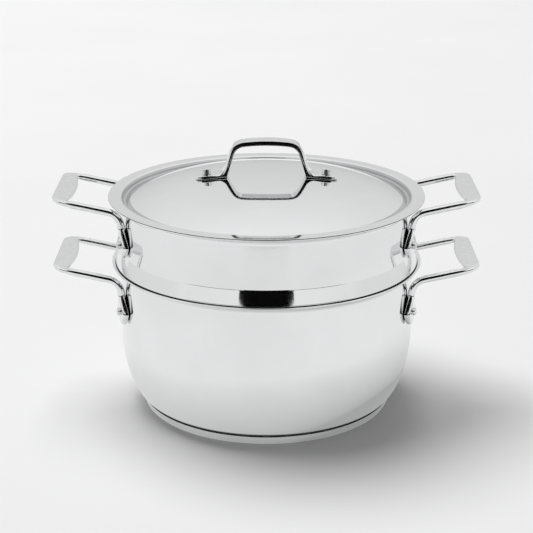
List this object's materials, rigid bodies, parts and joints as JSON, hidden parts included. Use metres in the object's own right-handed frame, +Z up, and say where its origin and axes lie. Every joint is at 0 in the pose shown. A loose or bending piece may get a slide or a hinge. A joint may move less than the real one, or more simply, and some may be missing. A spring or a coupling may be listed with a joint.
{
  "type": "steamer pot",
  "caption": "Polished steel stovetop pot with a perforated steamer insert nested on its lip, a domed lid with a strap handle, and riveted loop handles on both sides.",
  "frame": {"origin": "on the table, under the middle of the round base", "axes": "+X along the line through the side handles to the right one, +Z up along the pot's axis"},
  "size_m": [0.348, 0.26, 0.225],
  "materials": {
    "polished_steel": "mirror-polished stainless sheet with faint circular polishing",
    "cast_steel": "cast stainless, bright polished with a soft sheen on the paddles",
    "rivet_steel": "polished rivet heads, turned",
    "base_aluminium": "matt rolled disc, hidden inside the base"
  },
  "bodies": {
    "pot": {"pot_body": "polished_steel", "base_core": "base_aluminium", "base_cap": "polished_steel", "pot_handle_right": "cast_steel", "pot_handle_left": "cast_steel", "pot_rivet_right_front": "rivet_steel", "pot_rivet_right_rear": "rivet_steel", "pot_rivet_left_front": "rivet_steel", "pot_rivet_left_rear": "rivet_steel"},
    "insert": {"insert_body": "polished_steel", "insert_handle_right": "cast_steel", "insert_handle_left": "cast_steel", "insert_rivet_right_front": "rivet_steel", "insert_rivet_right_rear": "rivet_steel", "insert_rivet_left_front": "rivet_steel", "insert_rivet_left_rear": "rivet_steel"},
    "lid": {"lid_shell": "polished_steel", "lid_handle": "cast_steel", "lid_rivet_right": "rivet_steel", "lid_rivet_left": "rivet_steel"}
  },
  "joints": [
    {"name": "insert_lift", "type": "slide", "parent": "pot", "child": "insert", "axis": [0, 0, 1], "range_m": [0, 0.12]},
    {"name": "lid_lift", "type": "slide", "parent": "insert", "child": "lid", "axis": [0, 0, 1], "range_m": [0, 0.1]}
  ]
}
